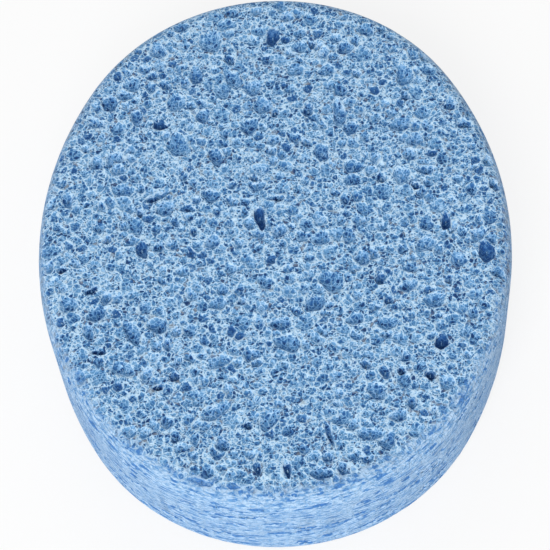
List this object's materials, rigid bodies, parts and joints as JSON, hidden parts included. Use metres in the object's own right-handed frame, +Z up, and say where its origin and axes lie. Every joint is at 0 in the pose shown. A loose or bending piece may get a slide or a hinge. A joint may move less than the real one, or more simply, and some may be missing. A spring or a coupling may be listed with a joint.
{
  "type": "natural bath sponge",
  "caption": "Oval block of blue plant-cellulose foam for washing in the bath, with two flat cut faces of open pores, a softened rim and a wall streaked with flattened pores.",
  "frame": {"origin": "centre of the underside, on the surface that the sponge lies on", "axes": "+Z up through the thickness, +Y along the long way of the oval, +X across it"},
  "size_m": [0.11, 0.136, 0.028],
  "materials": {
    "cellulose_foam": "matt, open-pored foam dyed light blue"
  },
  "bodies": {
    "root": {"sponge": "cellulose_foam"}
  },
  "joints": []
}
